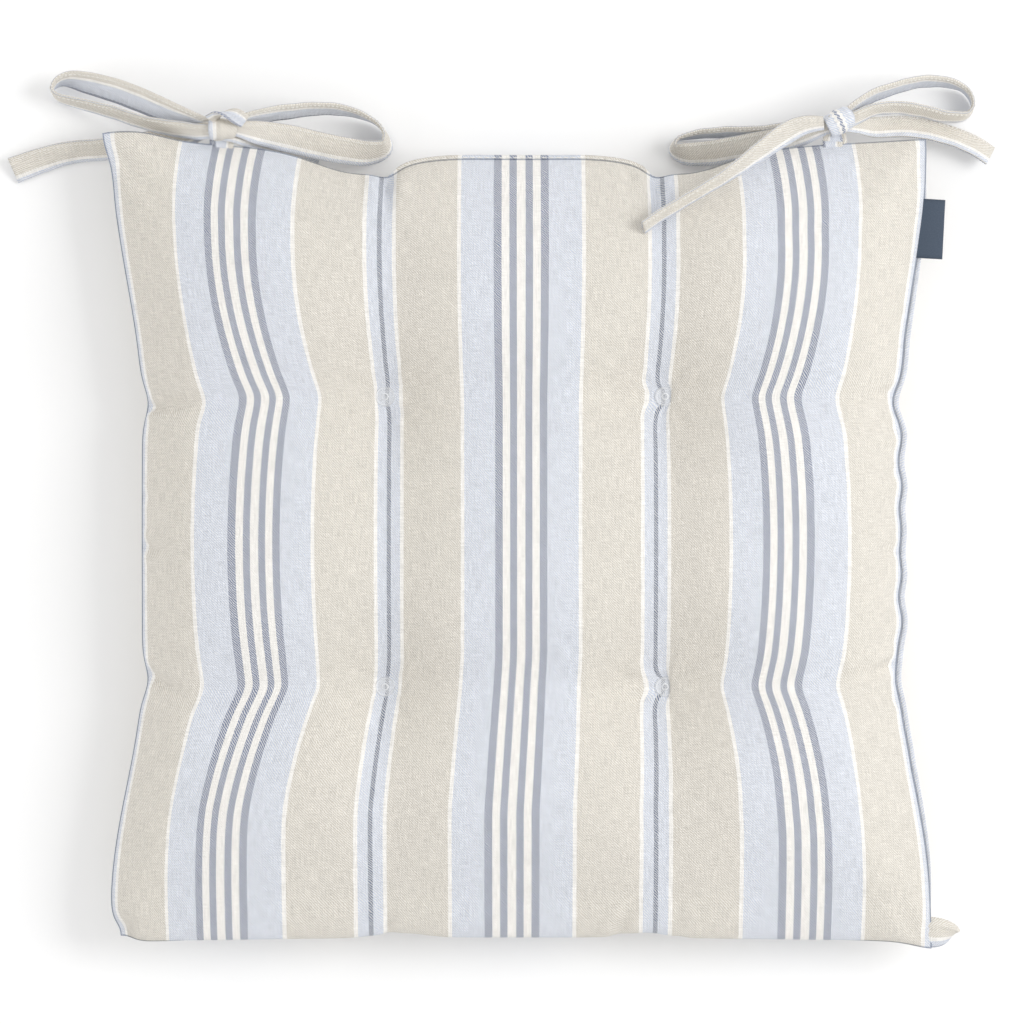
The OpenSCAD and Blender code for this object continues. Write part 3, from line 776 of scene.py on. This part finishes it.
def creased(p):
    """Presses the creases and the tufts' small radiating pleats into the top panel."""
    x, y = p[0, ..., 0], p[0, ..., 1]
    sink = np.zeros_like(x)
    for x0, y0, x1, y1, depth, half in CREASES:
        dx, dy = x1 - x0, y1 - y0
        length = math.hypot(dx, dy)
        along = ((x - x0) * dx + (y - y0) * dy) / length**2
        wander = 0.8 * np.sin(along * 4 + x0)
        off = ((x - x0) * dy - (y - y0) * dx) / length + wander
        ends = np.clip(1.15 - along, 0, 1) * np.clip(3 + 8 * along, 0, 1) * (along < 1.15)
        groove = bell(off, 0, half) - 0.45 * bell(off, 2.2 * half, 1.2 * half)
        sink += depth * ends**1.5 * groove
    for sx in (-1, 1):
        for sy in (-1, 1):
            off_x, off_y = x - TUFT_SHIFT - sx * TUFT[0], y - sy * TUFT[1]
            away, angle = np.hypot(off_x, off_y), np.arctan2(off_y, off_x)
            pleats = np.cos(TUFT_PLEATS * angle + sx + 2 * sy + 0.5 * np.sin(2 * angle))
            sink += TUFT_PLEAT_DEPTH * pleats * np.exp(-(((away - 14) / 7) ** 2))
    rows, columns = x.shape
    from_edge = np.minimum(
        np.minimum(np.arange(rows), np.arange(rows)[::-1])[:, None],
        np.minimum(np.arange(columns), np.arange(columns)[::-1])[None, :],
    )
    normal = unit(outward(p))[0]
    p[0] -= normal * (sink * np.clip(from_edge / 4, 0, 1))[..., None]
    return p


def pull(a, b, rest, stretch, squash):
    """Moves two sets of points towards their rest distance, in place."""
    d = b - a
    length = np.sqrt((d * d).sum(-1)) + 1e-9
    off = length - rest
    move = (0.5 * np.where(off > 0, stretch, squash) * off / length)[..., None] * d
    a += move
    b -= move


# The four edges of a panel's grid of points
EDGES = ((slice(None), 0), (slice(None), -1), (0, slice(None)), (-1, slice(None)))


def outward(p):
    """Area-weighted outward normals of the two panels."""
    e1, e2 = np.empty_like(p), np.empty_like(p)
    e1[:, :, 1:-1] = p[:, :, 2:] - p[:, :, :-2]
    e1[:, :, 0], e1[:, :, -1] = p[:, :, 1] - p[:, :, 0], p[:, :, -1] - p[:, :, -2]
    e2[:, 1:-1] = p[:, 2:] - p[:, :-2]
    e2[:, 0], e2[:, -1] = p[:, 1] - p[:, 0], p[:, -1] - p[:, -2]
    n = np.cross(e1, e2)
    n[1] *= -1
    return n


# How the cloth and its filling behave: the share of each error taken out in a step
SQUASH = 0.005  # a yarn pushed shorter
SHEAR = 0.02
SHEAR_SQUASH = 0.003
FAIR = 0.4  # stiffness against short wrinkles
GUIDE = 0.04  # hold on the cloth's place in plan
SEAM_GUIDE = 0.05  # and on the seam's
SEAM_LEVEL = 0.02  # hold on the seam's height
MOMENTUM = 0.85
PRESS = 0.01  # filling's push, millimetres a step for each millimetre of cell
FULL_PRESS = 8  # millimetres short of the filling's height at which it pushes its hardest


def smooth_out(p):
    """Takes out waves only a few cells long, and leaves longer ones."""
    q = np.zeros_like(p)
    q[:, 1:-1, 1:-1] = p[:, 1:-1, 1:-1] - 0.25 * (
        p[:, 2:, 1:-1] + p[:, :-2, 1:-1] + p[:, 1:-1, 2:] + p[:, 1:-1, :-2]
    )
    around = q[:, 3:-1, 2:-2] + q[:, 1:-3, 2:-2] + q[:, 2:-2, 3:-1] + q[:, 2:-2, 1:-3]
    p[:, 2:-2, 2:-2] -= FAIR * (q[:, 2:-2, 2:-2] - 0.25 * around)


def relax(p, du, dv, target, height, pins, steps):
    """Cloth relaxation: the filling presses outwards, the yarns hold their length, the
    tufts and the floor hold their places."""
    before = p.copy()
    bias = math.hypot(du, dv)
    press = PRESS * du
    for _ in range(steps):
        lack = np.stack([height[0] - p[0, ..., 2], p[1, ..., 2] - height[1]])
        force = np.clip(lack / FULL_PRESS, -0.6, 1)[..., None] * outward(p) / (4 * du * dv)
        step = (p - before) * MOMENTUM + press * force
        before = p.copy()
        p = p + step
        for _ in range(3):
            for o in (0, 1):
                w = (p.shape[2] - o) // 2 * 2 + o
                h = (p.shape[1] - o) // 2 * 2 + o
                pull(p[:, :, o:w:2], p[:, :, o + 1 : w : 2], du, 1, SQUASH)
                pull(p[:, o:h:2], p[:, o + 1 : h : 2], dv, 1, SQUASH)
                pull(p[:, :-1, o:w:2], p[:, 1:, o + 1 : w : 2], bias, SHEAR, SHEAR_SQUASH)
                pull(p[:, 1:, o:w:2], p[:, :-1, o + 1 : w : 2], bias, SHEAR, SHEAR_SQUASH)
            p[:, 1:-1, 1:-1, :2] += GUIDE * (target[1:-1, 1:-1] - p[:, 1:-1, 1:-1, :2])
            smooth_out(p)
            for edge in EDGES:
                seam = 0.5 * (p[0][edge] + p[1][edge])
                seam[..., :2] += SEAM_GUIDE * (target[edge] - seam[..., :2])
                seam[..., 2] += SEAM_LEVEL * (SEAM_Z - seam[..., 2])
                p[0][edge] = p[1][edge] = seam
            for mask, where in pins:
                p[mask] = where
            np.maximum(p[..., 2], 0, out=p[..., 2])
    return p


def finer(p):
    """Twice as many points each way, on smooth lines through the old ones."""
    for axis in (1, 2):
        a = np.moveaxis(p, axis, 0)
        out = np.empty((2 * len(a) - 1,) + a.shape[1:])
        out[::2] = a
        middle = 0.5 * (a[1:] + a[:-1])
        middle[1:-1] = (9 * (a[2:-1] + a[1:-2]) - (a[3:] + a[:-3])) / 16
        out[1::2] = middle
        p = np.moveaxis(out, 0, axis)
    return p


def tuft_pins(uu, vv, reach):
    """Points of the cloth held under the tufts' discs, and where they are held."""
    pins = []
    for sx in (-1, 1):
        for sy in (-1, 1):
            off_u, off_v = uu - sx * TUFT_CLOTH[0], vv - sy * TUFT_CLOTH[1]
            near = np.hypot(off_u, off_v) <= reach
            for side, z in ((0, TUFT_TOP_Z), (1, TUFT_LOW_Z)):
                mask = np.zeros((2,) + near.shape, bool)
                mask[side] = near
                x = TUFT_SHIFT + sx * TUFT[0] + 0.8 * off_u[near]
                y = sy * TUFT[1] + 0.8 * off_v[near]
                pins.append((mask, np.stack([x, y, np.full(near.sum(), z)], -1)))
    return pins


# Columns, rows and steps of the relaxation, from coarse to fine
LEVELS = ((55, 53, 200), (109, 105, 160), (217, 209, 60))


def sewn_panels():
    """The two panels' points once stuffed, tufted and at rest: (panel, row, column, xyz),
    with the cloth's own grid."""
    p = None
    for columns, rows, steps in LEVELS:
        u, v = np.linspace(-HALF_U, HALF_U, columns), np.linspace(-HALF_V, HALF_V, rows)
        uu, vv = np.meshgrid(u, v)
        x, y = flat_to_plan(uu, vv)
        above = filling_height(x, y, PUFF_TOP, TUFT_TOP_Z - SEAM_Z, TOP_FURROW)
        below = filling_height(x, y, PUFF_LOW, SEAM_Z - TUFT_LOW_Z, LOW_FURROW)
        top = SEAM_Z + above + 2 + lumps(x, y)
        low = SEAM_Z - below - 2
        if p is None:
            p = np.stack([np.stack([x, y, SEAM_Z + 0.8 * (z - SEAM_Z)], -1) for z in (top, low)])
            p[..., 2] = p[..., 2].clip(0)
        else:
            p = finer(p)
        step = u[1] - u[0]
        pins = tuft_pins(uu, vv, max(5.5, 0.8 * step))
        target = np.stack([x, y], -1)
        quick = 1
        p = relax(p, step, v[1] - v[0], target, (top, low), pins, steps // quick)
    return creased(rolled(p, uu, vv)), uu, vv


def border(rows, columns):
    """The grid's border as (row, column), anticlockwise from above."""
    return (
        [(0, i) for i in range(columns - 1)]
        + [(j, columns - 1) for j in range(rows - 1)]
        + [(rows - 1, i) for i in range(columns - 1, 0, -1)]
        + [(j, 0) for j in range(rows - 1, 0, -1)]
    )


LIP = 0.3  # millimetres that the sewn edge stands out all round
CLOSING_LIP = 2.3  # and where the rear opening was closed by a topstitch
CLOSING_HALF = 62


def seam_ring(p):
    """The seam's line, its outward directions in plan, and how far the sewn edge stands out."""
    ring = border(p.shape[1], p.shape[2])
    line = np.array([p[0, j, i] for j, i in ring])
    ahead = np.roll(line, -1, 0) - np.roll(line, 1, 0)
    out = unit(np.stack([ahead[:, 1], -ahead[:, 0], 0 * ahead[:, 0]], 1))
    for _ in range(2):
        out = unit(0.5 * out + 0.25 * (np.roll(out, 1, 0) + np.roll(out, -1, 0)))
    rear = (line[:, 1] > 150) * np.clip((CLOSING_HALF + 3 - np.abs(line[:, 0])) / 6, 0, 1)
    return ring, line, out, LIP + (CLOSING_LIP - LIP) * rear


def panel_faces(rows, columns):
    """Faces of the top panel's grid of points and, wound the other way, of the bottom's."""
    faces = []
    for j in range(rows - 1):
        for i in range(columns - 1):
            a = j * columns + i
            b = a + rows * columns
            faces.append((a, a + 1, a + columns + 1, a + columns))
            faces.append((b, b + columns, b + columns + 1, b + 1))
    return faces


def band_faces(loops):
    """Faces between each closed loop of points and the next."""
    faces = []
    for near, far in zip(loops[:-1], loops[1:]):
        for i in range(len(near)):
            k = (i + 1) % len(near)
            faces.append((near[i], far[i], far[k], near[k]))
    return faces


LIP_THICK = 0.44  # where the panels meet at the seam
LIP_LINES = ((0.75, 0.32), (1, 0), (0.75, -0.32))  # share of the lip's reach, and height


def cover_piece(p, uu, vv):
    """One closed skin: top and bottom panels joined by a narrow sewn edge."""
    rows, columns = uu.shape
    ring, line, out, reach = seam_ring(p)
    count = rows * columns
    top_ring = [j * columns + i for j, i in ring]
    low_ring = [count + r for r in top_ring]
    flat = np.stack([uu, vv], -1).reshape(-1, 2)
    away = unit(flat[top_ring] / [HALF_U, HALF_V])
    points, uv = [p.reshape(-1, 3)], [flat, flat]
    for share, rise in LIP_LINES:
        points.append(line + out * (share * reach)[:, None] + [0, 0, rise])
        uv.append(flat[top_ring] + away * share * reach[:, None])
    points = np.vstack(points)
    points[top_ring] += [0, 0, LIP_THICK / 2]
    points[low_ring] -= [0, 0, LIP_THICK / 2]
    lip_rings = [[2 * count + k * len(ring) + i for i in range(len(ring))] for k in range(3)]
    faces = panel_faces(rows, columns) + band_faces([top_ring, *lip_rings, low_ring])
    obj = mesh_object("pad_cover", points, faces, CLOTH)
    vertex_uv(obj, np.vstack(uv))
    return obj


# The ear of slack cloth at the front right corner: its middle line from the seam to the
# tip, with its half width
EAR = (
    (196.5, -190.4, 28.6, 6.6), (199.5, -190.6, 29.2, 7.4), (203, -190.8, 29.5, 7.2),
    (206.5, -191, 29, 6.3), (209.5, -191.1, 28.3, 4.8), (211.6, -191.2, 27.8, 2.8),
    (212.4, -191.2, 27.6, 1),
)
EAR_THICK = 1.5


def ear_piece():
    """A flap of both panels with its own topstitched fold, standing out of the corner."""
    line = dense(EAR, 4)
    t = np.linspace(-1, 1, 15)
    run = np.concatenate([[0], np.cumsum(np.linalg.norm(np.diff(line[:, :3], axis=0), axis=1))])
    points, uv = [], []
    for (x, y, z, half), along in zip(line, run):
        lean = 0.16 * (x - 199)
        fold = 0.9 * np.exp(-(((t - 0.45) / 0.16) ** 2))
        fold = fold - 0.5 * np.exp(-(((t - 0.2) / 0.12) ** 2))
        puff = 0.2 + EAR_THICK * (1 - t**2) ** 0.5 * min(1, half / 4)
        for side in (1, -1):
            q = t[::side]
            top = z + side * puff[::side] + fold[::side] + 1.2 * (1 - q**2)
            points += list(np.stack([x + lean * q, y + half * q, top], 1))
            uv += list(np.stack([209 - 8 * q, np.full(len(q), -HALF_V - 1.2 + along)], 1))
    faces = [f[::-1] for f in strip_faces(len(line), 2 * len(t))]
    obj = mesh_object("corner_ear", points, faces, CLOTH)
    vertex_uv(obj, np.array(uv))
    return obj


FILLING_GAP = 2.4  # millimetres between the cover's points and the filling's


def filling_piece(p):
    """The fibre inside: the cover's form, held in from it and from the seam allowance."""
    q = (p - FILLING_GAP * unit(outward(p)))[:, 2:-2:2, 2:-2:2]
    middle = 0.5 * (q[0] + q[1])
    thin = (q[0, ..., 2] - q[1, ..., 2]) < 2
    q[0][thin] = middle[thin] + [0, 0, 1]
    q[1][thin] = middle[thin] - [0, 0, 1]
    rows, columns = q.shape[1:3]
    top_ring = [j * columns + i for j, i in border(rows, columns)]
    low_ring = [rows * columns + r for r in top_ring]
    faces = panel_faces(rows, columns) + band_faces([top_ring, low_ring])
    return mesh_object("fibre_filling", q.reshape(-1, 3), faces, FIBRE)


def root_piece(piece, slot, *nodes):
    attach(piece, "root")
    if nodes:
        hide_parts(*nodes)
    return piece


def thread_loop(name, line):
    """A thread along a closed line."""
    ahead = unit(np.roll(line, -1, 0) - np.roll(line, 1, 0))
    side = unit(np.cross(ahead, [0, 0, 1]))
    points = round_thread(line, side, np.cross(side, ahead), THREAD_D / 2)
    faces = []
    for i in range(len(line)):
        a, b = i * THREAD_SIDES, (i + 1) % len(line) * THREAD_SIDES
        for k in range(THREAD_SIDES):
            beside = (k + 1) % THREAD_SIDES
            faces.append((a + k, a + beside, b + beside, b + k))
    return mesh_object(name, points, faces, THREAD)


panels, cloth_u, cloth_v = sewn_panels()
cover = root_piece(cover_piece(panels, cloth_u, cloth_v), "striped_cotton", "top_panel", "bottom_panel")
root_piece(ear_piece(), "striped_cotton")
filling = root_piece(filling_piece(panels), "fibre_wadding", "fibre_fill")

ring, seam, seam_out, lip = seam_ring(panels)
inner_line = seam - 3 * seam_out
root_piece(thread_loop("edge_seam_thread_line", inner_line), "white_thread", "edge_seam_thread")

# The label's length along the seam, how far it stands out, and where its middle is
LABEL_LENGTH = 29
LABEL_OUT = 11.5
LABEL_Y = 152


def seam_index(axis, at):
    """The seam's point at x = at on the rear seam (axis 0), or y = at on the right one (axis 1)."""
    return int(np.argmin(np.abs(seam[:, axis] - at) + 1000 * (seam[:, 1 - axis] < 150)))


def closing_row():
    """Stitches on both faces of the rear lip."""
    rear = [k for k in range(len(ring)) if seam[k, 1] > 150 and abs(seam[k, 0]) <= CLOSING_HALF]
    rows = []
    for face in (1, -1):
        line = seam[rear] + seam_out[rear] * 0.9 + [0, 0, face * 0.33]
        ups = np.tile([0.0, 0.0, float(face)], (len(rear), 1))
        rows.append(stitch_run(line, ups, 2.6, 0.9))
    return mesh_object("closing_topstitch", *joined(rows), THREAD)


def bar_row(name, k, length):
    """Back and forth stitches at the seam's point k, that hold a tie or the label to the
    turned-in allowance."""
    along = unit(np.cross(seam_out[k], [0, 0, 1]))
    rows = []
    for row in (-0.5, 0.5):
        start = seam[k] - (5.5 + row) * seam_out[k] + [0, 0, 1.2]
        line = np.array([start + along * t for t in np.linspace(-length / 2, length / 2, 9)])
        rows.append(stitch_run(line, np.tile([0.0, 0, 1], (9, 1)), 1.8, 0.4))
    return mesh_object(name, *joined(rows), THREAD)


root_piece(closing_row(), "white_thread", "closing_stitch")
for row_name, node, k, length in (
    ("left_tie_anchor_row", "left_tie_anchor_stitch", seam_index(0, -146), 16),
    ("right_tie_anchor_row", "right_tie_anchor_stitch", seam_index(0, 153), 16),
    ("label_row", "label_stitch", seam_index(1, LABEL_Y), LABEL_LENGTH + 1),
):
    root_piece(bar_row(row_name, k, length), "white_thread", node)


def lead_piece(name, route):
    """The short end of a tie between the seam and its bow's hinge, where the route starts."""
    x, y, z = route[0][:3]
    k = seam_index(0, x)
    seam_y, seam_z = seam[k][1:]
    layer = seam_z + 0.9 * (z - 31.5)
    lead = [
        [x, seam_y - 4 * seam_out[k][1], layer, 0, 10], [x, seam_y, layer, 0, 9.6],
        [x, 0.5 * (seam_y + y + 0.2), 0.5 * (seam_z + z), 0, 9.8], [x, y + 0.4, z, 0, 10.2],
    ]
    root_piece(tape_piece(name, lead, 1, 4), "striped_tape")


lead_piece("left_outer_tie_root", LEFT_OUTER)
lead_piece("left_inner_tie_root", LEFT_INNER)
lead_piece("right_inner_tie_root", RIGHT_INNER)
lead_piece("right_outer_tie_root", RIGHT_OUTER)


# ---------------------------------------------------------------- label
def label_piece():
    """A woven strip folded at its outer end, its two ends inside the seam."""
    root = seam[seam_index(1, LABEL_Y)]
    thick, leaf = 0.34, 0.42
    reach = np.concatenate([np.linspace(-3, LABEL_OUT - 0.6, 8), [LABEL_OUT - 0.25, LABEL_OUT]])
    upper = [(r, leaf + 0.35 * math.sin(math.pi * max(r, 0) / LABEL_OUT)) for r in reach[:-1]]
    upper[-1] = (reach[-2], 0.36)
    outer = upper + [(reach[-1], 0.0)] + [(r, -h) for r, h in upper[::-1]]
    inner_reach = np.linspace(-3, LABEL_OUT - 0.7, 8)
    heights = [h for _, h in upper]
    inner = [(r, max(0.06, np.interp(r, reach[:-1], heights) - thick)) for r in inner_reach]
    profile = outer + [(r, -h) for r, h in inner] + [(r, h) for r, h in inner[::-1]]
    rings = 12
    points = []
    turn = math.radians(-3)
    for i in range(rings):
        s = (i / (rings - 1) - 0.5) * LABEL_LENGTH
        for r, h in profile:
            out = max(r, 0)
            droop = 0.025 * out * math.sin(s / 7) - 0.01 * out**2 * (1 + 0.3 * math.sin(s / 6))
            points.append([
                root[0] + r * math.cos(turn) - s * math.sin(turn),
                root[1] + s * math.cos(turn) + r * math.sin(turn),
                root[2] + h + droop,
            ])
    faces = [f[::-1] for f in strip_faces(rings, len(profile))]
    obj = mesh_object("woven_label", points, faces, LABEL)
    vertex_uv(obj, [p[:2] for p in points])
    return obj


label = label_piece()
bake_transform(label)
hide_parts("side_label")

# ---------------------------------------------------------------- tufts
for name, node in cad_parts.items():
    if name.startswith("tuft_"):
        node.data.materials.clear()
        node.data.materials.append(PLASTIC)


# ---------------------------------------------------------------- studio
FLOOR_HALF = 4.0
WORLD_LEVEL = 0.78
# Name, place, watts and size of each lamp, all aimed at the middle of the pad's base
LIGHTS = (("key", (1.7, 0.4, 1.7), 25, 1.2), ("fill", (-1.9, -0.3, 1.1), 6.5, 1.2))


def make_floor():
    mesh = bpy.data.meshes.new("floor")
    s = FLOOR_HALF
    mesh.from_pydata([(-s, -s, 0), (s, -s, 0), (s, s, 0), (-s, s, 0)], [], [(0, 1, 2, 3)])
    n = Nodes("floor_paint")
    n.set(Base_Color=(0.99, 0.99, 0.99, 1), Roughness=0.9)
    mesh.materials.append(n.material)
    floor = bpy.data.objects.new("floor", mesh)
    floor.location = (0, 0, -0.0002)
    bpy.context.collection.objects.link(floor)


def make_lights():
    world = bpy.data.worlds.new("studio")
    world.use_nodes = True
    background = world.node_tree.nodes["Background"]
    background.inputs["Color"].default_value = (1, 1, 1, 1)
    background.inputs["Strength"].default_value = WORLD_LEVEL
    bpy.context.scene.world = world
    for name, place, energy, size in LIGHTS:
        data = bpy.data.lights.new(name, "AREA")
        data.energy, data.size = energy, size
        light = bpy.data.objects.new(name, data)
        light.location = place
        x, y, z = place
        light.rotation_euler = (math.atan2(math.hypot(x, y), z), 0, math.atan2(-y, -x) - math.pi / 2)
        bpy.context.collection.objects.link(light)


make_floor()
make_lights()
bpy.context.scene.view_settings.view_transform = "Standard"
